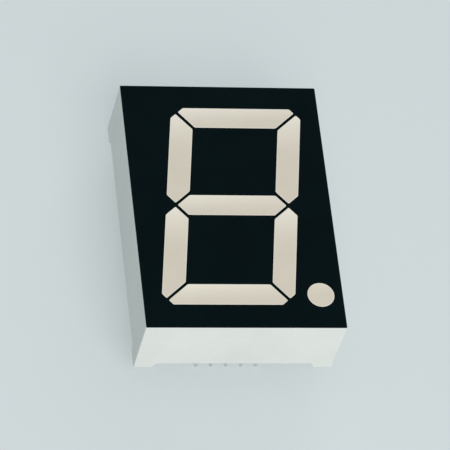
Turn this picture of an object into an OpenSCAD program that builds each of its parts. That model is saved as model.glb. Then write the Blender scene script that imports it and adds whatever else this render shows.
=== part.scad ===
// Single-digit seven-segment LED display with a decimal point, for soldering into a circuit board.
// Millimetres. +Z points out of the face and +Y to the top of the digit.
// The origin is the centre of the pin pattern, on the seating plane under the four corner feet.

/* [Housing] */
// Width of the face
face_w = 33.4; // [32:0.1:40]
// Height of the face
face_h = 46.8; // [45:0.1:56]
// Height of the housing, from the edge of its walls to its face
shell_h = 11.6; // [9:0.1:15]
// Thickness of the outer walls
wall = 1.2; // [0.8:0.05:1.4]
// Thickness of the face plate
face_plate = 1; // [0.6:0.1:2]
// Width of the ledge inside the walls that the circuit board seats on
ledge = 0.8; // [0.4:0.05:1.2]
// Radius of the housing's upright corner edges
corner_r = 0.15; // [0.05:0.05:1]
// Radius of the corners inside the walls
recess_r = 0.6; // [0.2:0.05:1.2]

/* [Feet] */
// Height of the corner feet that stand the walls off the board below
foot_h = 1.2; // [0.5:0.05:2]
// Length of each foot along its wall, on the seating plane
foot_len = 3.1; // [2:0.1:6]
// Run of the sloped end of each foot
foot_slope = 0.6; // [0.2:0.05:1.2]

/* [Digit] */
// Height of the digit
digit_h = 38.1; // [34:0.1:39]
// Width of the digit, before it leans
digit_w = 22.2; // [20:0.1:23]
// Width of a segment's stroke
stroke = 3.85; // [3:0.05:4.4]
// Lean of the digit, in degrees
slant = 8; // [0:0.5:10]
// Width of the dark line between two segments
segment_gap = 0.52; // [0.3:0.02:0.8]
// Cut across each outer corner of the digit
corner_cut = 2; // [1.6:0.1:2.6]

/* [Decimal point] */
// Diameter of the decimal point
dot_d = 4.5; // [3:0.1:5]
// Clear distance between the digit's leaning right edge and the decimal point
dot_clear = 2; // [1:0.05:2.6]
// How far the decimal point reaches below the digit
dot_drop = 0.35; // [0:0.05:0.8]

/* [Light wells] */
// Wall around the wells, on the hidden side of the face plate
well_wall = 0.8; // [0.5:0.05:1.2]
// How much narrower a well is at the circuit board than at the face, on each side
well_taper = 0.5; // [0.2:0.05:0.65]

/* [Face mask] */
// Thickness of the black mask on the face
mask_t = 0.1; // [0.05:0.01:0.2]
// Bare rim between the mask and the edge of the face
mask_rim = 0.02; // [0.02:0.01:0.4]

/* [Circuit board and potting] */
// Thickness of the circuit board
board_t = 1.6; // [1:0.1:2]
// Gap between the board's edge and the walls
board_clear = 0.2; // [0.1:0.05:0.4]
// Thickness of the potting over the back of the board
potting_t = 1.2; // [0.8:0.05:1.6]
// Depth of the potting's surface inside the edge of the walls
potting_recess = 0.8; // [0.3:0.05:1.2]

/* [Pins] */
// Diameter of a pin, over its solder coat
pin_d = 0.5; // [0.4:0.01:0.7]
// Thickness of the solder coat, which a pin has outside the potting
pin_coat = 0.025; // [0.01:0.005:0.04]
// Pitch of the pins in a row
pin_pitch = 2.54; // [2:0.01:3]
// Distance from the upper or lower edge of the face to the row of pins along it
row_inset = 3.08; // [2.6:0.01:4]
// Length of a pin below the seating plane
pin_below = 4.9; // [3:0.1:8]
// Chamfer at the tip of a pin
pin_chamfer = 0.12; // [0.04:0.01:0.18]

/* [Solder joints] */
// Gap between a pin's core and its plated hole, which the solder fills
solder_gap = 0.15; // [0.05:0.01:0.25]
// Diameter of a solder fillet on the board
fillet_d = 1.5; // [1.3:0.05:1.8]
// Height of a solder fillet along the pin
fillet_h = 0.6; // [0.3:0.05:0.75]

/* [LED chips] */
// Side of a square LED chip
chip_side = 0.3; // [0.2:0.01:0.5]
// Thickness of an LED chip
chip_t = 0.25; // [0.15:0.01:0.4]
// Distance between the two chips of a segment
chip_spacing = 7.2; // [4:0.1:8]
// Diameter of a bond wire
wire_d = 0.06; // [0.04:0.01:0.1]
// Distance from a chip to the board pad that its bond wire lands on
wire_span = 1; // [0.6:0.05:1.2]

/* [Hidden] */
$fn = 48;
// Overrun of every cut past the face that it opens
overrun = 0.5;
pins_per_row = 5;
chips_per_segment = 2;

segment_names = ["a", "b", "c", "d", "e", "f", "g"];
lamp_names = concat(segment_names, ["dp"]);
pin_numbers = [1:2 * pins_per_row];

housing_white = [0.86, 0.88, 0.87];
mask_black = [0.03, 0.04, 0.05];
epoxy_cream = [0.86, 0.82, 0.76];
board_green = [0.16, 0.36, 0.22];
potting_amber = [0.80, 0.78, 0.68];
tin_grey = [0.76, 0.77, 0.78];
chip_red = [0.62, 0.18, 0.14];
wire_gold = [0.85, 0.68, 0.30];

// Levels above the seating plane
shell_top = foot_h + shell_h;
face_top = shell_top + mask_t;
potting_z = foot_h + potting_recess;
board_back = potting_z + potting_t;
board_front = board_back + board_t;
well_depth = face_top - board_front;

// Space inside the walls, and the board that fits it
recess_w = face_w - 2 * wall;
recess_h = face_h - 2 * wall;
board_w = recess_w - 2 * board_clear;
board_h = recess_h - 2 * board_clear;

// The digit standing upright, before it leans
half_w = digit_w / 2;
half_h = digit_h / 2;
stroke_mid_x = half_w - stroke / 2;
stroke_mid_y = half_h - stroke / 2;
inner_x = half_w - stroke;
inner_y = half_h - stroke;
// A segment's 45 degree mitre lies this far, along X or Y, from the middle of the dark line
mitre = segment_gap / sqrt(2);

// The decimal point, placed from the digit's right edge and base line
dot_r = dot_d / 2;
dot_y = -half_h - dot_drop + dot_r;
dot_x = lean([half_w, dot_y])[0] + dot_clear / cos(slant) + dot_r / cos(slant);

// A pin's free length and its bare core inside the potting and the board
pin_r = pin_d / 2;
core_r = pin_r - pin_coat;
hole_r = core_r + solder_gap;
row_y = face_h / 2 - row_inset;

// Points and outlines

function lean(p) = [p[0] + p[1] * tan(slant), p[1]];
function lean_all(points) = [for (p = points) lean(p)];
function unit(v) = v / norm(v);
function reversed(points) = [for (i = [len(points) - 1:-1:0]) points[i]];

// Mirrors an anticlockwise outline by the signs given, and keeps it anticlockwise
function mirrored(points, sign_x, sign_y) =
    let (turned = [for (p = points) [sign_x * p[0], sign_y * p[1]]])
    sign_x * sign_y > 0 ? turned : reversed(turned);

// Moves every side of a convex anticlockwise outline inwards by the same distance
function inset_outline(points, inset) = [
    for (i = [0:len(points) - 1])
        let (
            corner = points[i],
            back = unit(points[(i + len(points) - 1) % len(points)] - corner),
            ahead = unit(points[(i + 1) % len(points)] - corner),
            half_angle = acos(back * ahead) / 2
        )
        corner + unit(back + ahead) * inset / sin(half_angle)
];

// The digit's outlines, standing upright and anticlockwise
function top_bar() = [
    [half_w - corner_cut, half_h],
    [-half_w + corner_cut, half_h],
    [-half_w + (corner_cut + mitre) / 2, half_h - (corner_cut - mitre) / 2],
    [-inner_x + mitre, inner_y],
    [inner_x - mitre, inner_y],
    [half_w - (corner_cut + mitre) / 2, half_h - (corner_cut - mitre) / 2]
];
function upper_right_bar() = [
    [half_w, half_h - corner_cut],
    [half_w - (corner_cut - mitre) / 2, half_h - (corner_cut + mitre) / 2],
    [inner_x, inner_y - mitre],
    [inner_x, stroke / 2 + 2 * mitre],
    [stroke_mid_x + mitre, mitre],
    [half_w, stroke / 2]
];
function middle_bar() = [
    [stroke_mid_x, 0],
    [inner_x, stroke / 2],
    [-inner_x, stroke / 2],
    [-stroke_mid_x, 0],
    [-inner_x, -stroke / 2],
    [inner_x, -stroke / 2]
];
function digit_outline() = [
    [half_w, -half_h + corner_cut],
    [half_w, half_h - corner_cut],
    [half_w - corner_cut, half_h],
    [-half_w + corner_cut, half_h],
    [-half_w, half_h - corner_cut],
    [-half_w, -half_h + corner_cut],
    [-half_w + corner_cut, -half_h],
    [half_w - corner_cut, -half_h]
];
function upper_window() = [
    [inner_x, stroke / 2],
    [inner_x, inner_y],
    [-inner_x, inner_y],
    [-inner_x, stroke / 2]
];

function segment_outline(name) = lean_all(
    name == "a" ? top_bar()
    : name == "b" ? upper_right_bar()
    : name == "c" ? mirrored(upper_right_bar(), 1, -1)
    : name == "d" ? mirrored(top_bar(), 1, -1)
    : name == "e" ? mirrored(upper_right_bar(), -1, -1)
    : name == "f" ? mirrored(upper_right_bar(), -1, 1)
    : middle_bar()
);

// The middle of a lamp's well, and the direction that its chips are set along
function lamp_middle(name) =
    name == "a" ? lean([0, stroke_mid_y])
    : name == "b" ? lean([stroke_mid_x, stroke_mid_y / 2])
    : name == "c" ? lean([stroke_mid_x, -stroke_mid_y / 2])
    : name == "d" ? lean([0, -stroke_mid_y])
    : name == "e" ? lean([-stroke_mid_x, -stroke_mid_y / 2])
    : name == "f" ? lean([-stroke_mid_x, stroke_mid_y / 2])
    : name == "g" ? lean([0, 0])
    : [dot_x, dot_y];
function is_level(name) = name == "a" || name == "d" || name == "g";
function chip_run(name) = is_level(name) ? [1, 0] : unit(lean([0, 1]));
function chip_count(name) = name == "dp" ? 1 : chips_per_segment;

// Pins 1 to 5 run left to right below the digit, and 6 to 10 right to left above it
function pin_place(number) =
    let (
        lower = number <= pins_per_row,
        step = lower ? number - 1 : 2 * pins_per_row - number
    )
    [(step - (pins_per_row - 1) / 2) * pin_pitch, (lower ? -row_y : row_y)];

// Shared solids

module rounded_plate(w, h, r, z_low, z_high) {
    translate([0, 0, z_low]) linear_extrude(z_high - z_low) {
        square([w - 2 * r, h], center = true);
        square([w, h - 2 * r], center = true);
        for (sx = [-1, 1], sy = [-1, 1])
            translate([sx * (w / 2 - r), sy * (h / 2 - r)]) circle(r);
    }
}

// A solid with straight sides between two outlines that have equally many points
module loft(low, high, z_low, z_high) {
    count = len(low);
    polyhedron(
        points = concat(
            [for (p = low) [p[0], p[1], z_low]],
            [for (p = high) [p[0], p[1], z_high]]
        ),
        faces = concat(
            [[for (i = [0:count - 1]) i]],
            [[for (i = [count - 1:-1:0]) count + i]],
            [for (i = [0:count - 1]) let (j = (i + 1) % count) [i, count + i, count + j, j]]
        )
    );
}

// The inside of a segment's well, which narrows towards the board
module segment_well(name, past = 0) {
    outline = segment_outline(name);
    widening = well_taper * past / well_depth;
    loft(
        inset_outline(outline, well_taper + widening),
        inset_outline(outline, -widening),
        board_front - past,
        face_top + past
    );
}

module dot_well(past = 0) {
    widening = well_taper * past / well_depth;
    translate([dot_x, dot_y, board_front - past])
        cylinder(h = well_depth + 2 * past, r1 = dot_r - well_taper - widening, r2 = dot_r + widening);
}

module all_wells(past) {
    for (name = segment_names) segment_well(name, past);
    dot_well(past);
}

// Places a chip's frame on the front of the board, with X along the lamp
module at_chips(name) {
    run = chip_run(name);
    count = chip_count(name);
    for (k = [0:count - 1]) {
        place = lamp_middle(name) + run * (k - (count - 1) / 2) * chip_spacing;
        translate([place[0], place[1], board_front]) rotate([0, 0, atan2(run[1], run[0])]) children();
    }
}

module at_pins() {
    for (number = pin_numbers) translate(pin_place(number)) children();
}

// Housing

// The rim of the walls is cut away between the corner feet
module foot_notch(across, through) {
    low = across / 2 - foot_len;
    high = low - foot_slope;
    rotate([90, 0, 0]) linear_extrude(through + 2 * overrun, center = true)
        polygon([[-low, -overrun], [low, -overrun], [low, 0], [high, foot_h], [-high, foot_h], [-low, 0]]);
}

module walls_and_face() {
    difference() {
        rounded_plate(face_w, face_h, corner_r, 0, shell_top);
        rounded_plate(recess_w, recess_h, recess_r, -overrun, board_front);
        rounded_plate(
            recess_w - 2 * ledge, recess_h - 2 * ledge, recess_r, board_front - overrun, shell_top - face_plate
        );
        foot_notch(face_w, face_h);
        rotate([0, 0, 90]) foot_notch(face_h, face_w);
    }
}

// The walls around the wells, which stand on the board
module well_block() {
    intersection() {
        rounded_plate(face_w, face_h, corner_r, board_front, shell_top);
        union() {
            translate([0, 0, board_front]) linear_extrude(shell_top - board_front) difference() {
                polygon(inset_outline(lean_all(digit_outline()), -well_wall));
                for (sign_y = [-1, 1])
                    polygon(inset_outline(lean_all(mirrored(upper_window(), 1, sign_y)), well_wall));
            }
            translate([dot_x, dot_y, board_front]) cylinder(h = shell_top - board_front, r = dot_r + well_wall);
        }
    }
}

module housing() {
    color(housing_white) difference() {
        union() {
            walls_and_face();
            well_block();
        }
        all_wells(overrun);
    }
}

module face_mask() {
    color(mask_black) difference() {
        rounded_plate(face_w - 2 * mask_rim, face_h - 2 * mask_rim, corner_r, shell_top, face_top);
        all_wells(overrun);
    }
}

// Lamps

module led_chips(name) {
    color(chip_red) at_chips(name)
        translate([-chip_side / 2, -chip_side / 2, 0]) cube([chip_side, chip_side, chip_t]);
}

// A wire rises from the top of its chip, loops over and comes down to its pad
module bond_wires(name) {
    color(wire_gold) at_chips(name) {
        translate([wire_span / 2, 0, chip_t]) rotate([90, 0, 0])
            rotate_extrude(angle = 180) translate([wire_span / 2, 0]) circle(d = wire_d);
        translate([wire_span, 0, 0]) cylinder(h = chip_t, d = wire_d);
    }
}

module segment(name) {
    color(epoxy_cream) difference() {
        segment_well(name);
        led_chips(name);
        bond_wires(name);
    }
}

module decimal_point() {
    color(epoxy_cream) difference() {
        dot_well();
        led_chips("dp");
        bond_wires("dp");
    }
}

// Circuit board, pins and potting

module pin_body() {
    rotate_extrude() polygon([
        [0, -pin_below],
        [pin_r - pin_chamfer, -pin_below],
        [pin_r, -pin_below + pin_chamfer],
        [pin_r, potting_z],
        [core_r, potting_z],
        [core_r, board_front],
        [0, board_front]
    ]);
}

module pin(number) {
    color(tin_grey) translate(pin_place(number)) pin_body();
}

// Solder fills the plated hole and runs out along the pin
module solder_joint() {
    rotate_extrude() polygon([
        [core_r, board_front],
        [core_r, board_back - fillet_h],
        [fillet_d / 2, board_back],
        [hole_r, board_back],
        [hole_r, board_front]
    ]);
}

module solder_joints() {
    color(tin_grey) at_pins() solder_joint();
}

module circuit_board() {
    color(board_green) difference() {
        rounded_plate(board_w, board_h, recess_r, board_back, board_front);
        at_pins() translate([0, 0, board_back - overrun]) cylinder(h = board_t + 2 * overrun, r = hole_r);
    }
}

// Potting covers the back of the board and fills the gap around its edge
module potting() {
    color(potting_amber) difference() {
        rounded_plate(recess_w, recess_h, recess_r, potting_z, board_front);
        rounded_plate(board_w, board_h, recess_r, board_back, board_front + overrun);
        at_pins() pin_body();
        at_pins() solder_joint();
    }
}

housing();
face_mask();
for (name = segment_names)
    segment(name);
decimal_point();
circuit_board();
potting();
solder_joints();
for (number = pin_numbers)
    pin(number);
for (name = lamp_names)
    led_chips(name);
for (name = lamp_names)
    bond_wires(name);
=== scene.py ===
"""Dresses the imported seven-segment LED display and sets it in a plain studio."""
import math

import bmesh
import bpy
from bpy.props import FloatProperty, FloatVectorProperty, IntProperty, PointerProperty
from mathutils import Euler, Matrix, Vector


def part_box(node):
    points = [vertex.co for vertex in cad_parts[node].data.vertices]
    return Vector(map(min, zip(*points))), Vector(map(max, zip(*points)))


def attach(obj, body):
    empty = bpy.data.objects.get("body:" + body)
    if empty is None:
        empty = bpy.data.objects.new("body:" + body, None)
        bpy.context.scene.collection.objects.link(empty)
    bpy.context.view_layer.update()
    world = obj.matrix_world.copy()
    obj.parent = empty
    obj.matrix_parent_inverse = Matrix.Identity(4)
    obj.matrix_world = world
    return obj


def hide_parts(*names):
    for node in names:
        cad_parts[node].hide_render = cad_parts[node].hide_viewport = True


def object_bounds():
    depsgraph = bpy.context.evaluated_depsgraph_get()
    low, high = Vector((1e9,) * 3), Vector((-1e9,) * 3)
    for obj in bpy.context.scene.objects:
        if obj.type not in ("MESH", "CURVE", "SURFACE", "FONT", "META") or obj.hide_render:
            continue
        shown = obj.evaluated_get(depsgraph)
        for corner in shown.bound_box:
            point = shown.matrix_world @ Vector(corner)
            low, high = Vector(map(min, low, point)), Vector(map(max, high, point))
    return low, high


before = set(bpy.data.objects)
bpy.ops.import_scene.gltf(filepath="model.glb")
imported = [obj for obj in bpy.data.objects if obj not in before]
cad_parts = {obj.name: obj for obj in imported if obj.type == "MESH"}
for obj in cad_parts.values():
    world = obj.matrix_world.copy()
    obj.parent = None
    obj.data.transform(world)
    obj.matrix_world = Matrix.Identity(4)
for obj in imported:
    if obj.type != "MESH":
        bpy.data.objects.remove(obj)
CAD_LOW, CAD_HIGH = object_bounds()

bl_info = {
    "name": "Seven-Segment Display",
    "version": (1, 0, 0),
    "blender": (4, 5, 0),
    "location": "View3D > Sidebar > Display",
    "description": "Dresses a packed seven-segment LED display and sets its studio",
    "category": "Object",
}

MM = 0.001
BODY = "root"
SEGMENTS = "abcdefg"
LED_NAMES = list(SEGMENTS) + ["dp"]
SLUGS = ["segment_" + name for name in SEGMENTS] + ["decimal_point"]
PINS = [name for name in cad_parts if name.startswith("pin_")]
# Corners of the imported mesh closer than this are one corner
MERGE = 0.0005 * MM
# Faces turned less than this against each other are one flat face
FLAT_ANGLE = math.radians(0.5)
# An edge sharper than this is a real edge of the piece and not a facet of a round
EDGE_ANGLE = math.radians(35)
# Two upright walls turned more than this against each other meet in a corner
CORNER_ANGLE = math.radians(25)
# A point closer than this to a level lies on it
ON_LEVEL = 0.002 * MM
# A point of the face closer than this to the housing's sides lies on its bare rim
RIM_BAND = 0.5 * MM
# A corner edge of a slug climbs more than this
SLUG_RISE = 1 * MM
# Faces across a rounded corner of an outline, and across a soft edge
CORNER_STEPS = 5
SOFT_STEPS = 3
# Marks on a slug's mesh that its epoxy reads: a paler rim by the well's wall, and painted light that makes
# the side facing the key light paler
RIM_MARK = "rim"
PAINTED_LIGHT_MARK = "painted_light"
# Nearly all of a noise lies between these values
NOISE_LOW, NOISE_HIGH = 0.3, 0.7
# Where a Mix node keeps its two inputs and its result, for values and for colours
MIX_SOCKETS = {"FLOAT": (2, 3, 0), "RGBA": (6, 7, 2)}
# Width of the camera's sensor in millimetres
SENSOR = 36


def srgb(red, green, blue):
    """The linear colour of a screen colour given in steps from 0 to 255."""
    steps = [c / 255 for c in (red, green, blue)]
    return tuple(c / 12.92 if c <= 0.04045 else ((c + 0.055) / 1.055) ** 2.4 for c in steps)


def length(name, description, default):
    """A length in metres that a user can change."""
    return FloatProperty(
        name=name, description=description, default=default, min=0, precision=5, unit="LENGTH",
    )


def colour(name, description, default):
    """A colour that a user can change."""
    return FloatVectorProperty(
        name=name, description=description, default=default, min=0, max=1, subtype="COLOR",
    )


def angle(name, description, degrees):
    """An angle that a user can change."""
    return FloatProperty(name=name, description=description, default=math.radians(degrees), unit="ROTATION")


def share(name, description, default):
    """A share from 0 to 1 that a user can change."""
    return FloatProperty(name=name, description=description, default=default, min=0, max=1, subtype="FACTOR")


def count(name, description, default):
    """A number of steps that a user can change."""
    return IntProperty(name=name, description=description, default=default, min=1)


# Settings


class HousingSettings(bpy.types.PropertyGroup):
    """The moulded white housing."""

    edge_round: length("Edge Rounding", "Rounding of the walls' lower edges and the feet", 0.08 * MM)
    face_round: length("Face Rounding", "Rounding of the bare rim around the mask", 0.02 * MM)
    round_steps: count("Rounding Steps", "Faces across a rounded edge", 3)
    white: colour("White", "Main colour of the plastic", srgb(225, 226, 223))
    shade: colour("Shade", "Colour that the plastic varies to", srgb(216, 218, 215))
    grain: length("Grain", "Size of the mould's fine texture", 0.12 * MM)


class FaceSettings(bpy.types.PropertyGroup):
    """The black mask and the epoxy segments in it."""

    corner_round: length("Corner Rounding", "Rounding of the segments' and windows' corners", 0.2 * MM)
    ink_round: length("Ink Edge", "Rounding at the edge of the ink", 0.03 * MM)
    black: colour("Black", "Main colour of the ink", srgb(0, 10, 13))
    black_shade: colour("Black Shade", "Colour that the ink varies to", srgb(4, 17, 20))
    cream: colour("Cream", "Main colour of the epoxy", srgb(209, 199, 185))
    cream_shade: colour("Cream Shade", "Colour that the epoxy varies to", srgb(203, 193, 179))
    # Painted light: each slug's epoxy is painted paler towards the side that faces the key light. It is fixed
    # in the colour and does not follow the lamps
    cream_painted_light: colour("Cream Lit", "Colour of the epoxy at the wall facing the light", srgb(230, 224, 212))
    painted_light_reach: length("Lit Reach", "How far the wall facing the light shows through", 9.5 * MM)
    painted_light_lean: angle("Lit Lean", "Turn of that wall's side from the top of the digit to its left", 4)
    painted_light_fall: FloatProperty(
        name="Lit Fall", description="Power by which that wall's colour falls off", default=2, min=1,
    )
    dot_painted_light: share("Dot Lit", "How much the dot shows of that wall, beside a segment's 1", 0.65)
    cream_rim: colour("Cream Rim", "Colour of the epoxy close to the well's wall", srgb(223, 216, 204))
    rim: length("Rim", "Width of the paler rim around a segment", 0.15 * MM)
    epoxy_round: length("Epoxy Edge", "Rounding at the edge of a segment", 0.03 * MM)


class BackSettings(bpy.types.PropertyGroup):
    """The potting, the pins and what they cover."""

    meniscus: length("Meniscus", "How far the potting climbs the walls and the pins", 0.3 * MM)
    meniscus_width: length("Meniscus Width", "How far the climb reaches over the surface", 0.5 * MM)
    meniscus_steps: count("Meniscus Steps", "Faces across the climb", 5)
    milky: colour("Milky", "Colour of the potting where it is deep", srgb(214, 211, 196))
    board_tint: colour("Board Tint", "Colour of the potting over the board", srgb(186, 196, 170))
    board_shade: colour("Board Shade", "Colour that the board tint varies to", srgb(197, 203, 180))
    joint_tint: colour("Joint Tint", "Colour of the potting over a solder joint", srgb(198, 201, 196))
    joint_show: share("Joint Show", "How much a solder joint shows through the potting", 0.55)
    tip_round: length("Tip Rounding", "Rounding at the tips of the pins", 0.05 * MM)
    tin: colour("Tin", "Main colour of the tinned pins", srgb(228, 229, 230))
    tin_shade: colour("Tin Shade", "Colour that the tin varies to", srgb(210, 212, 214))


class StudioSettings(bpy.types.PropertyGroup):
    """The camera, the floor and the sky."""

    azimuth: angle("Azimuth", "Turn of the camera round the display", -22.15)
    elevation: angle("Elevation", "Height of the camera over the horizon", 56.19)
    roll: angle("Roll", "Turn of the camera about its own line of sight", 19.11)
    distance: length("Distance", "From the middle of the face to the camera", 694.4 * MM)
    aim_right: FloatProperty(
        name="Aim Right", description="Middle of the picture, right of the face's middle",
        default=-1.2 * MM, precision=5, unit="LENGTH",
    )
    aim_up: FloatProperty(
        name="Aim Up", description="Middle of the picture, above the face's middle",
        default=-3.27 * MM, precision=5, unit="LENGTH",
    )
    lens: FloatProperty(
        name="Lens", description=f"Focal length for a {SENSOR} mm sensor, in millimetres", default=336.9,
    )
    floor_colour: colour("Floor", "Colour of the floor and the backdrop", srgb(208, 216, 218))
    floor_size: length("Floor Size", "Radius of the floor", 4.0)
    floor_glow: share("Floor Glow", "Share of the floor's own colour, which lifts the shadow", 0.6)
    sky_colour: colour("Sky", "Colour of the soft light from all round", (0.85, 0.98, 1.0))
    sky: FloatProperty(
        name="Sky Strength", description="Level of the soft light from all round", default=0.41,
    )


# Shader helpers


def feed(tree, socket, value):
    """Gives an input a number, a colour or another node's output."""
    if isinstance(value, bpy.types.NodeSocket):
        tree.links.new(value, socket)
    elif socket.type == "RGBA":
        socket.default_value = (*value, 1)
    else:
        socket.default_value = value


def add_node(tree, kind, inputs=None, **settings):
    """A shader node with its settings, and with the inputs fed that are given by name or place."""
    made = tree.nodes.new(kind)
    for name, value in settings.items():
        setattr(made, name, value)
    for name, value in (inputs or {}).items():
        feed(tree, made.inputs[name], value)
    return made


def maths(tree, operation, *values):
    """The result of a maths node whose inputs are numbers or other nodes' outputs."""
    return add_node(tree, "ShaderNodeMath", dict(enumerate(values)), operation=operation).outputs[0]


def fade(tree, value, outer, inner):
    """A mask that goes smoothly from 0 at the outer value to 1 at the inner one."""
    inputs = {"Value": value, "From Min": outer, "From Max": inner}
    return add_node(tree, "ShaderNodeMapRange", inputs, interpolation_type="SMOOTHSTEP").outputs["Result"]


def spread(tree, noise, low=0.0, high=1.0):
    """A noise stretched so that it fills the range between two levels."""
    inputs = {"Value": noise, "From Min": NOISE_LOW, "From Max": NOISE_HIGH, "To Min": low, "To Max": high}
    return add_node(tree, "ShaderNodeMapRange", inputs).outputs["Result"]


def mixed(tree, kind, part, one, two):
    """Two values or two colours, given or from other nodes, mixed by the part of the second."""
    first, second, result = MIX_SOCKETS[kind]
    inputs = {"Factor": part, first: one, second: two}
    return add_node(tree, "ShaderNodeMix", inputs, data_type=kind).outputs[result]


def new_group(name, inputs, output):
    """An empty node group with named inputs and one output, its input node and its output node."""
    tree = bpy.data.node_groups.new(name, "ShaderNodeTree")
    for label, kind, default in inputs:
        socket = tree.interface.new_socket(name=label, in_out="INPUT", socket_type=kind)
        socket.default_value = default
    label, kind = output
    tree.interface.new_socket(name=label, in_out="OUTPUT", socket_type=kind)
    return tree, tree.nodes.new("NodeGroupInput"), tree.nodes.new("NodeGroupOutput")


def place_group(tree, group, **values):
    """The output of the node group placed in a tree, with its inputs fed from the words given."""
    inputs = {name.replace("_", " ").title(): value for name, value in values.items()}
    return add_node(tree, "ShaderNodeGroup", inputs, node_tree=group).outputs[0]


def grain_group():
    """Fine grain in object space: a value that varies about a half, over features of the given size."""
    if "Grain" in bpy.data.node_groups:
        return bpy.data.node_groups["Grain"]
    tree, given, out = new_group(
        "Grain",
        [("Size", "NodeSocketFloat", 0.1 * MM), ("Detail", "NodeSocketFloat", 2.0)],
        ("Grain", "NodeSocketFloat"),
    )
    place = tree.nodes.new("ShaderNodeTexCoord")
    noise = add_node(tree, "ShaderNodeTexNoise", {
        "Vector": place.outputs["Object"],
        "Scale": maths(tree, "DIVIDE", 1.0, given.outputs["Size"]),
        "Detail": given.outputs["Detail"],
        "Roughness": 0.55,
    })
    feed(tree, out.inputs["Grain"], noise.outputs["Fac"])
    return tree


def mottle_group():
    """Two colours mixed in soft clouds with a fine grain over them."""
    if "Mottle" in bpy.data.node_groups:
        return bpy.data.node_groups["Mottle"]
    tree, given, out = new_group(
        "Mottle",
        [
            ("Colour", "NodeSocketColor", (1, 1, 1, 1)),
            ("Shade", "NodeSocketColor", (0, 0, 0, 1)),
            ("Cloud Size", "NodeSocketFloat", 6 * MM),
            ("Grain Size", "NodeSocketFloat", 0.2 * MM),
            ("Grain Share", "NodeSocketFloat", 0.3),
        ],
        ("Colour", "NodeSocketColor"),
    )
    clouds = place_group(tree, grain_group(), size=given.outputs["Cloud Size"], detail=3.0)
    grain = place_group(tree, grain_group(), size=given.outputs["Grain Size"], detail=2.0)
    tone = spread(tree, mixed(tree, "FLOAT", given.outputs["Grain Share"], clouds, grain))
    colours = given.outputs["Colour"], given.outputs["Shade"]
    feed(tree, out.inputs["Colour"], mixed(tree, "RGBA", tone, *colours))
    return tree


def new_material(name, **sockets):
    """A material with a Principled BSDF, its unlinked sockets set from the words given."""
    material = bpy.data.materials.new(name)
    material.use_nodes = True
    tree = material.node_tree
    bsdf = tree.nodes["Principled BSDF"]
    for socket, value in sockets.items():
        feed(tree, bsdf.inputs[socket.replace("_", " ")], value)
    return material, tree, bsdf


def mottle(tree, main, shade, **sizes):
    """A colour that varies to its shade, in clouds and a grain of the sizes given."""
    return place_group(tree, mottle_group(), colour=main, shade=shade, **sizes)


def add_texture(tree, bsdf, size, detail, roughness, depth=0.0, strength=1.0):
    """Varies the roughness between two levels with a grain, and raises the surface to any depth given."""
    grain = place_group(tree, grain_group(), size=size, detail=detail)
    feed(tree, bsdf.inputs["Roughness"], spread(tree, grain, *roughness))
    if depth:
        bump = add_node(tree, "ShaderNodeBump", {"Height": grain, "Distance": depth, "Strength": strength})
        feed(tree, bsdf.inputs["Normal"], bump.outputs["Normal"])


def seen_rays(tree):
    """1 for what the camera sees, also in a reflection or through a clear piece, and 0 for other light."""
    rays = tree.nodes.new("ShaderNodeLightPath")
    seen = rays.outputs["Is Camera Ray"]
    for kind in ("Is Glossy Ray", "Is Transmission Ray"):
        seen = maths(tree, "MAXIMUM", seen, rays.outputs[kind])
    return seen


def mix_surface(tree, part, one, two, output):
    """Gives an output two shaders mixed by the part of the second."""
    mix = add_node(tree, "ShaderNodeMixShader", {"Fac": part, 1: one.outputs[0], 2: two.outputs[0]})
    feed(tree, tree.nodes[output].inputs["Surface"], mix.outputs[0])


# Materials


def housing_plastic(settings):
    """White moulded plastic with a fine spark-eroded texture."""
    material, tree, bsdf = new_material("moulded_white", IOR=1.5)
    white = mottle(
        tree, settings.white, settings.shade, cloud_size=7 * MM, grain_size=0.35 * MM, grain_share=0.35,
    )
    feed(tree, bsdf.inputs["Base Color"], white)
    add_texture(
        tree, bsdf, size=settings.grain, detail=2.0, roughness=(0.42, 0.56), depth=0.012 * MM, strength=0.6,
    )
    return material


def mask_ink(settings):
    """Matte black ink with a slight grain."""
    material, tree, bsdf = new_material("matte_ink", Specular_IOR_Level=0.03)
    black = mottle(
        tree, settings.black, settings.black_shade, cloud_size=5 * MM, grain_size=0.16 * MM, grain_share=0.6,
    )
    feed(tree, bsdf.inputs["Base Color"], black)
    add_texture(tree, bsdf, size=0.07 * MM, detail=2.0, roughness=(0.6, 0.75), depth=0.008 * MM, strength=0.5)
    return material


def diffused_epoxy(settings):
    """Cream epoxy with a diffuser in it, paler where a white wall of the well shows through, and with painted
    light: paler towards the side that faces the key light.
    """
    material, tree, bsdf = new_material("diffused_epoxy", IOR=1.52, Specular_IOR_Level=0.35)
    cream = mottle(
        tree, settings.cream, settings.cream_shade, cloud_size=4 * MM, grain_size=0.25 * MM, grain_share=0.45,
    )
    painted_light, rim = (add_node(tree, "ShaderNodeAttribute", attribute_name=name) for name in (PAINTED_LIGHT_MARK, RIM_MARK))
    # Painted light: the colour is mixed towards a paler cream by the painted light mark, raised to a power
    painted_light_share = maths(tree, "MAXIMUM", painted_light.outputs["Fac"], 0.0)
    paler = mixed(tree, "RGBA", maths(tree, "POWER", painted_light_share, settings.painted_light_fall), cream, settings.cream_painted_light)
    palest = mixed(tree, "RGBA", rim.outputs["Fac"], paler, settings.cream_rim)
    feed(tree, bsdf.inputs["Base Color"], palest)
    add_texture(tree, bsdf, size=0.2 * MM, detail=3.0, roughness=(0.38, 0.5), depth=0.006 * MM, strength=0.5)
    return material


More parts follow.
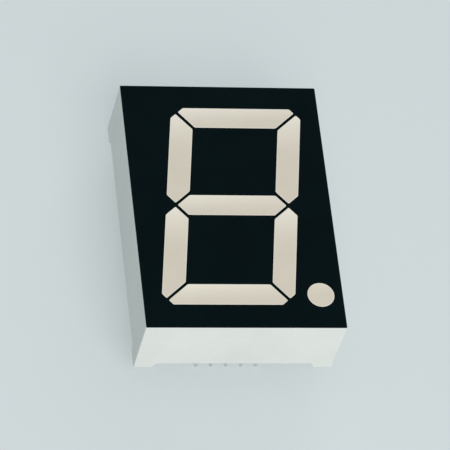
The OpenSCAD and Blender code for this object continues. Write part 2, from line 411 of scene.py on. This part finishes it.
def cast_potting(settings):
    """Milky cast epoxy, with the board and the solder joints showing through where it is thin."""
    material, tree, bsdf = new_material("cast_potting", IOR=1.52)
    place = tree.nodes.new("ShaderNodeTexCoord")
    split = add_node(tree, "ShaderNodeSeparateXYZ", {"Vector": place.outputs["Object"]})
    across, along = (maths(tree, "ABSOLUTE", split.outputs[axis]) for axis in ("X", "Y"))
    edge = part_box("circuit_board")[1]
    # The board's edge shows as a soft band, from this far outside it to this far inside
    outside, inside = 0.1 * MM, 0.9 * MM
    over_board = maths(
        tree, "MULTIPLY",
        fade(tree, across, edge.x + outside, edge.x - inside),
        fade(tree, along, edge.y + outside, edge.y - inside),
    )
    over_joint = maths(tree, "MULTIPLY", joint_mask(tree, split.outputs["X"], along), settings.joint_show)
    green = mottle(
        tree, settings.board_tint, settings.board_shade,
        cloud_size=12 * MM, grain_size=0.5 * MM, grain_share=0.1,
    )
    board = mixed(tree, "RGBA", over_joint, green, settings.joint_tint)
    feed(tree, bsdf.inputs["Base Color"], mixed(tree, "RGBA", over_board, settings.milky, board))
    add_texture(tree, bsdf, size=5 * MM, detail=1.0, roughness=(0.16, 0.24), depth=0.12 * MM, strength=0.35)
    return material


def joint_mask(tree, across, along):
    """A soft round mask over each solder joint, from the place across and the distance along."""
    places = sorted((low.x + high.x) / 2 for low, high in map(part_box, PINS))
    low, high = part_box(PINS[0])
    row = abs(low.y + high.y) / 2
    pitch = (places[-1] - places[0]) / (len(PINS) / 2 - 1)
    nearest = maths(tree, "MULTIPLY", maths(tree, "ROUND", maths(tree, "DIVIDE", across, pitch)), pitch)
    nearest = maths(tree, "MINIMUM", maths(tree, "MAXIMUM", nearest, places[0]), places[-1])
    aside = maths(tree, "SUBTRACT", across, nearest)
    off = maths(tree, "SUBTRACT", along, row)
    squares = [maths(tree, "MULTIPLY", part, part) for part in (aside, off)]
    away = maths(tree, "SQRT", maths(tree, "ADD", *squares))
    # A joint starts to show at the outer radius, and shows most within the inner one
    outer, inner = 0.95 * MM, 0.5 * MM
    return fade(tree, away, outer, inner)


def bare_metal(name, main, shade, grain_size, roughness):
    """Metal with a slightly uneven surface."""
    material, tree, bsdf = new_material(name, Metallic=1.0)
    metal = mottle(tree, main, shade, cloud_size=0.8 * MM, grain_size=grain_size, grain_share=0.5)
    feed(tree, bsdf.inputs["Base Color"], metal)
    add_texture(tree, bsdf, size=grain_size, detail=2.0, roughness=roughness, depth=0.01 * MM, strength=0.5)
    return material


def board_laminate():
    """Green solder mask over woven glass."""
    material, tree, bsdf = new_material("board_laminate", IOR=1.5)
    green = mottle(
        tree, srgb(52, 108, 68), srgb(40, 88, 56), cloud_size=3 * MM, grain_size=0.4 * MM, grain_share=0.5,
    )
    feed(tree, bsdf.inputs["Base Color"], green)
    add_texture(tree, bsdf, size=0.4 * MM, detail=1.0, roughness=(0.3, 0.42), depth=0.01 * MM, strength=0.5)
    return material


def chip_crystal():
    """Polished semiconductor."""
    material, tree, bsdf = new_material("chip_crystal", IOR=2.4)
    red = mottle(
        tree, srgb(150, 60, 48), srgb(120, 44, 38),
        cloud_size=0.1 * MM, grain_size=0.02 * MM, grain_share=0.5,
    )
    feed(tree, bsdf.inputs["Base Color"], red)
    add_texture(tree, bsdf, size=0.02 * MM, detail=1.0, roughness=(0.15, 0.25))
    return material


# Mesh helpers


def merged_copy(node):
    """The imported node's mesh with its corners merged and its flat faces whole."""
    bm = bmesh.new()
    bm.from_mesh(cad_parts[node].data)
    bmesh.ops.remove_doubles(bm, verts=bm.verts, dist=MERGE)
    make_whole(bm)
    return bm


def make_whole(bm):
    """Joins what lies in one flat face or on one straight edge."""
    bmesh.ops.dissolve_limit(bm, angle_limit=FLAT_ANGLE, verts=bm.verts, edges=bm.edges)


def sharp_edges(bm, keep):
    """The piece's real edges whose two corners both pass the test given."""
    return [
        e for e in bm.edges
        if e.is_manifold and e.calc_face_angle(0) > EDGE_ANGLE and all(keep(v.co) for v in e.verts)
    ]


def round_edges(bm, edges, width, steps, clamp=True):
    """Rounds the edges given, less widely where there is no room if it clamps."""
    bmesh.ops.bevel(
        bm, geom=edges, offset=width, offset_type="OFFSET", segments=steps, profile=0.5,
        affect="EDGES", clamp_overlap=clamp, material=-1,
    )


def upright_corners(bm, rise):
    """The edges where two upright walls meet in a corner and that climb more than the rise given."""
    return [
        e for e in bm.edges
        if e.is_manifold and e.calc_face_angle(0) > CORNER_ANGLE
        and abs(e.verts[0].co.z - e.verts[1].co.z) > rise
    ]


def on_level(part, level):
    """Whether all corners of an edge or a face lie on a level."""
    return all(abs(v.co.z - level) < ON_LEVEL for v in part.verts)


def faces_at(bm, level):
    """The faces that lie flat at a level."""
    faces = [f for f in bm.faces if on_level(f, level)]
    if not faces:
        raise RuntimeError(f"no flat face at {level}")
    return faces


def corners_of(faces):
    """The corners of a region."""
    return {v for f in faces for v in f.verts}


def inset(bm, faces, thickness, depth=0.0):
    """Draws the rim of a region inwards, and moves the region along its normal."""
    bmesh.ops.inset_region(
        bm, faces=faces, thickness=thickness, depth=depth, use_even_offset=True, use_boundary=True,
    )


def soften_rim(bm, faces, width):
    """Rounds the rim of a flat region that faces up, at its outer edge and at its holes."""
    level = faces[0].verts[0].co.z
    bmesh.ops.translate(bm, verts=list(corners_of(faces)), vec=(0, 0, -width))
    turns = [math.pi / 2 * k / SOFT_STEPS for k in range(SOFT_STEPS + 1)]
    for one, two in zip(turns, turns[1:]):
        inset(bm, faces, width * (math.cos(one) - math.cos(two)), width * (math.sin(two) - math.sin(one)))
    for vert in corners_of(faces):
        vert.co.z = level


def add_piece(bm, name, material, node):
    """Makes the mesh a finished piece that stands for the node given, which gets the same material."""
    for face in bm.faces:
        face.smooth = True
    for edge in bm.edges:
        edge.smooth = edge.is_manifold and edge.calc_face_angle(0) < EDGE_ANGLE
    mesh = bpy.data.meshes.new(name)
    bm.to_mesh(mesh)
    bm.free()
    if not mesh.polygons:
        raise RuntimeError(f"{name} came out with no faces")
    mesh.materials.append(material)
    piece = bpy.data.objects.new(name, mesh)
    bpy.context.scene.collection.objects.link(piece)
    level = piece.modifiers.new("Even Shading", "WEIGHTED_NORMAL")
    level.keep_sharp = True
    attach(piece, BODY)
    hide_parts(node)
    dress_node(node, material)


def dress_node(node, material):
    """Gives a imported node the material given."""
    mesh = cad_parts[node].data
    mesh.materials.clear()
    mesh.materials.append(material)


# Pieces


class DISPLAY_OT_housing(bpy.types.Operator):
    """Dress the moulded housing: round its outer edges and give it white plastic"""

    bl_idname = "display.housing"
    bl_label = "Housing"

    def execute(self, context):
        settings = context.scene.display_housing
        low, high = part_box("housing")
        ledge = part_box("circuit_board")[1].z

        def at_rim(point):
            gaps = [min(abs(point[axis] - low[axis]), abs(point[axis] - high[axis])) for axis in range(2)]
            return min(gaps) < RIM_BAND and point.z > high.z - ON_LEVEL

        bm = merged_copy("housing")
        round_edges(bm, sharp_edges(bm, at_rim), settings.face_round, settings.round_steps)
        lower = sharp_edges(bm, lambda point: point.z < ledge - ON_LEVEL)
        round_edges(bm, lower, settings.edge_round, settings.round_steps)
        add_piece(bm, "housing_moulding", housing_plastic(settings), "housing")
        return {"FINISHED"}


class DISPLAY_OT_face_mask(bpy.types.Operator):
    """Dress the mask: round its windows' corners and the edge of the ink, and give it matte black"""

    bl_idname = "display.face_mask"
    bl_label = "Face Mask"

    def execute(self, context):
        settings = context.scene.display_face
        bm = merged_copy("face_mask")
        low, high = (corner.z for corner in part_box("face_mask"))
        bmesh.ops.delete(bm, geom=faces_at(bm, low) + faces_at(bm, high), context="FACES")
        make_whole(bm)
        round_edges(bm, upright_corners(bm, ON_LEVEL), settings.corner_round, CORNER_STEPS)
        for level in (low, high):
            rims = [e for e in bm.edges if on_level(e, level)]
            bmesh.ops.triangle_fill(bm, use_beauty=True, edges=rims)
        bmesh.ops.recalc_face_normals(bm, faces=bm.faces)
        soften_rim(bm, faces_at(bm, high), settings.ink_round)
        add_piece(bm, "face_mask_ink", mask_ink(settings), "face_mask")
        return {"FINISHED"}


class DISPLAY_OT_segments(bpy.types.Operator):
    """Dress the seven segments and the decimal point: round their corners and give them diffused epoxy with
    painted light
    """

    bl_idname = "display.segments"
    bl_label = "Segments"

    def execute(self, context):
        settings = context.scene.display_face
        epoxy = diffused_epoxy(settings)
        for node in SLUGS:
            bm = merged_copy(node)
            rim, painted_light = (bm.verts.layers.float.new(name) for name in (RIM_MARK, PAINTED_LIGHT_MARK))
            round_edges(bm, upright_corners(bm, SLUG_RISE), settings.corner_round, CORNER_STEPS, clamp=False)
            cap = faces_at(bm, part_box(node)[1].z)
            soften_rim(bm, cap, settings.epoxy_round)
            inset(bm, cap, settings.rim)
            middle = corners_of(cap)
            for vert in bm.verts:
                vert[rim] = 0.0 if vert in middle else 1.0
            # Painted light on each slug, weaker on the dot
            self.mark_painted_light(bm, painted_light, settings.dot_painted_light if node == "decimal_point" else 1, settings)
            add_piece(bm, node + "_epoxy", epoxy, node)
        return {"FINISHED"}

    def mark_painted_light(self, bm, layer, full, settings):
        """Marks how much painted light a slug gets: most at the side that faces the key light, falling evenly
        away from it. It is fixed in the mesh and does not follow the lamps.
        """
        way = Vector((-math.sin(settings.painted_light_lean), math.cos(settings.painted_light_lean), 0))
        places = {vert: vert.co.dot(way) for vert in bm.verts}
        far = max(places.values())
        reach = min(far - min(places.values()), settings.painted_light_reach)
        for vert, place in places.items():
            vert[layer] = full - (far - place) / reach


class DISPLAY_OT_potting(bpy.types.Operator):
    """Dress the potting: let it climb the walls and the pins, and give it milky epoxy"""

    bl_idname = "display.potting"
    bl_label = "Potting"

    def execute(self, context):
        settings = context.scene.display_back
        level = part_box("potting")[0].z
        bm = merged_copy("potting")
        faces = faces_at(bm, level)
        bmesh.ops.translate(bm, verts=list(corners_of(faces)), vec=(0, 0, -settings.meniscus))
        # The climb falls off with the square of what is left of its width
        steps = settings.meniscus_steps
        for k in range(steps):
            fall = settings.meniscus * ((1 - k / steps) ** 2 - (1 - (k + 1) / steps) ** 2)
            inset(bm, faces, settings.meniscus_width / steps, -fall)
        add_piece(bm, "potting_cast", cast_potting(settings), "potting")
        return {"FINISHED"}


class DISPLAY_OT_pins(bpy.types.Operator):
    """Dress the pins: round their tips and give them tin"""

    bl_idname = "display.pins"
    bl_label = "Pins"

    def execute(self, context):
        settings = context.scene.display_back
        tin = bare_metal(
            "tinned_wire", settings.tin, settings.tin_shade, grain_size=0.12 * MM, roughness=(0.26, 0.42),
        )
        for node in PINS:
            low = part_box(node)[0].z
            bm = merged_copy(node)
            edges = sharp_edges(bm, lambda point: point.z < low + ON_LEVEL)
            round_edges(bm, edges, settings.tip_round, SOFT_STEPS)
            add_piece(bm, node + "_tinned", tin, node)
        return {"FINISHED"}


class DISPLAY_OT_inner_works(bpy.types.Operator):
    """Dress the circuit board, the solder, the chips and the bond wires behind the face"""

    bl_idname = "display.inner_works"
    bl_label = "Inner Works"

    def execute(self, context):
        solder = bare_metal(
            "bright_solder", srgb(200, 202, 205), srgb(176, 178, 182),
            grain_size=0.2 * MM, roughness=(0.22, 0.4),
        )
        gold = bare_metal(
            "gold_wire", srgb(226, 186, 98), srgb(206, 164, 78), grain_size=0.02 * MM, roughness=(0.18, 0.3),
        )
        chip = chip_crystal()
        dress_node("circuit_board", board_laminate())
        dress_node("solder_joints", solder)
        for name in LED_NAMES:
            dress_node("led_chips_" + name, chip)
            dress_node("bond_wires_" + name, gold)
        return {"FINISHED"}


# Studio


def direction(azimuth, elevation):
    """The direction to a lamp or the camera. Azimuth 0 is in front of the display's lower edge."""
    level = math.cos(elevation)
    return Vector((math.sin(azimuth) * level, -math.cos(azimuth) * level, math.sin(elevation)))


def add_lamp(name, middle, azimuth, elevation, distance, size, level, tint):
    """A soft square lamp that lights a facing white surface to the level given."""
    lamp = bpy.data.lights.new(name, "AREA")
    lamp.shape = "SQUARE"
    lamp.size = size
    lamp.color = tint
    # Its power over pi times the squared distance reaches the surface, and white sends back that over pi
    lamp.energy = level * math.pi ** 2 * distance ** 2
    way = direction(math.radians(azimuth), math.radians(elevation))
    placed = bpy.data.objects.new(name, lamp)
    placed.location = middle + way * distance
    placed.rotation_euler = way.to_track_quat("Z", "Y").to_euler()
    bpy.context.scene.collection.objects.link(placed)


class DISPLAY_OT_studio(bpy.types.Operator):
    """Set the camera, the lamps, the soft sky and the pale floor"""

    bl_idname = "display.studio"
    bl_label = "Studio"

    def execute(self, context):
        settings = context.scene.display_studio
        context.scene.view_settings.view_transform = "Standard"
        self.set_camera(context, settings)
        self.set_lamps()
        self.set_sky(context, settings)
        self.set_floor(context, settings)
        return {"FINISHED"}

    def set_camera(self, context, settings):
        """A long lens that looks down on the face."""
        camera = bpy.data.cameras.new("camera")
        camera.sensor_width = SENSOR
        camera.lens = settings.lens
        camera.clip_start = 0.01
        camera.clip_end = 20
        way = direction(settings.azimuth, settings.elevation)
        turn = way.to_track_quat("Z", "Y").to_matrix() @ Euler((0, 0, settings.roll)).to_matrix()
        face = Vector((0, 0, CAD_HIGH.z))
        place = face + turn @ Vector((settings.aim_right, settings.aim_up, settings.distance))
        placed = bpy.data.objects.new("camera", camera)
        placed.matrix_world = Matrix.Translation(place) @ turn.to_4x4()
        context.scene.collection.objects.link(placed)
        context.scene.camera = placed

    def set_lamps(self):
        """A key in front, and a weaker fill from the back."""
        middle = (CAD_LOW + CAD_HIGH) / 2
        add_lamp(
            "key", middle, azimuth=3, elevation=46, distance=0.7, size=0.45,
            level=0.78, tint=(1.0, 0.965, 0.93),
        )
        add_lamp(
            "fill", middle, azimuth=160, elevation=30, distance=0.8, size=0.6,
            level=0.28, tint=(1.0, 0.98, 0.96),
        )

    def set_sky(self, context, settings):
        """Soft light from all round, which the camera and reflections see as the pale backdrop."""
        world = bpy.data.worlds.new("sky")
        context.scene.world = world
        world.use_nodes = True
        tree = world.node_tree
        light = tree.nodes["Background"]
        feed(tree, light.inputs["Color"], settings.sky_colour)
        feed(tree, light.inputs["Strength"], settings.sky)
        backdrop = add_node(tree, "ShaderNodeBackground", {"Color": settings.floor_colour})
        mix_surface(tree, seen_rays(tree), light, backdrop, "World Output")

    def set_floor(self, context, settings):
        """A pale floor under the tips of the pins."""
        bm = bmesh.new()
        bmesh.ops.create_circle(bm, cap_ends=True, segments=64, radius=settings.floor_size)
        bmesh.ops.translate(bm, verts=bm.verts, vec=(0, 0, CAD_LOW.z))
        mesh = bpy.data.meshes.new("floor")
        bm.to_mesh(mesh)
        bm.free()
        material, tree, bsdf = new_material(
            "pale_floor", Base_Color=settings.floor_colour, Roughness=0.9, Specular_IOR_Level=0.1,
        )
        glow = add_node(tree, "ShaderNodeEmission", {"Color": settings.floor_colour})
        glowing = maths(tree, "MULTIPLY", seen_rays(tree), settings.floor_glow)
        mix_surface(tree, glowing, bsdf, glow, "Material Output")
        mesh.materials.append(material)
        floor = bpy.data.objects.new("floor", mesh)
        context.scene.collection.objects.link(floor)


class DISPLAY_PT_panel(bpy.types.Panel):
    """Lists the display's pieces and their settings"""

    bl_idname = "DISPLAY_PT_panel"
    bl_label = "Seven-Segment Display"
    bl_space_type = "VIEW_3D"
    bl_region_type = "UI"
    bl_category = "Display"

    def draw(self, context):
        for group, operators in PANEL_ROWS:
            box = self.layout.box()
            settings = getattr(context.scene, group)
            for name in settings.bl_rna.properties.keys():
                if name not in ("name", "rna_type"):
                    box.prop(settings, name)
            for operator in operators:
                box.operator(operator.bl_idname)


PANEL_ROWS = [
    ("display_housing", [DISPLAY_OT_housing]),
    ("display_face", [DISPLAY_OT_face_mask, DISPLAY_OT_segments]),
    ("display_back", [DISPLAY_OT_potting, DISPLAY_OT_pins, DISPLAY_OT_inner_works]),
    ("display_studio", [DISPLAY_OT_studio]),
]
SETTINGS = {
    "display_housing": HousingSettings,
    "display_face": FaceSettings,
    "display_back": BackSettings,
    "display_studio": StudioSettings,
}
OPERATORS = [operator for group, operators in PANEL_ROWS for operator in operators]
CLASSES = [*SETTINGS.values(), *OPERATORS, DISPLAY_PT_panel]


def register():
    """Registers the classes and hangs the settings on the scene."""
    for cls in CLASSES:
        bpy.utils.register_class(cls)
    for name, group in SETTINGS.items():
        setattr(bpy.types.Scene, name, PointerProperty(type=group))


def unregister():
    """Takes the settings and the classes away again."""
    for name in SETTINGS:
        delattr(bpy.types.Scene, name)
    for cls in reversed(CLASSES):
        bpy.utils.unregister_class(cls)


def main():
    """Makes every piece in order."""
    register()
    bpy.ops.display.housing()
    bpy.ops.display.face_mask()
    bpy.ops.display.segments()
    bpy.ops.display.potting()
    bpy.ops.display.pins()
    bpy.ops.display.inner_works()
    bpy.ops.display.studio()
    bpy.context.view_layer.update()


if __name__ == "__main__":
    main()
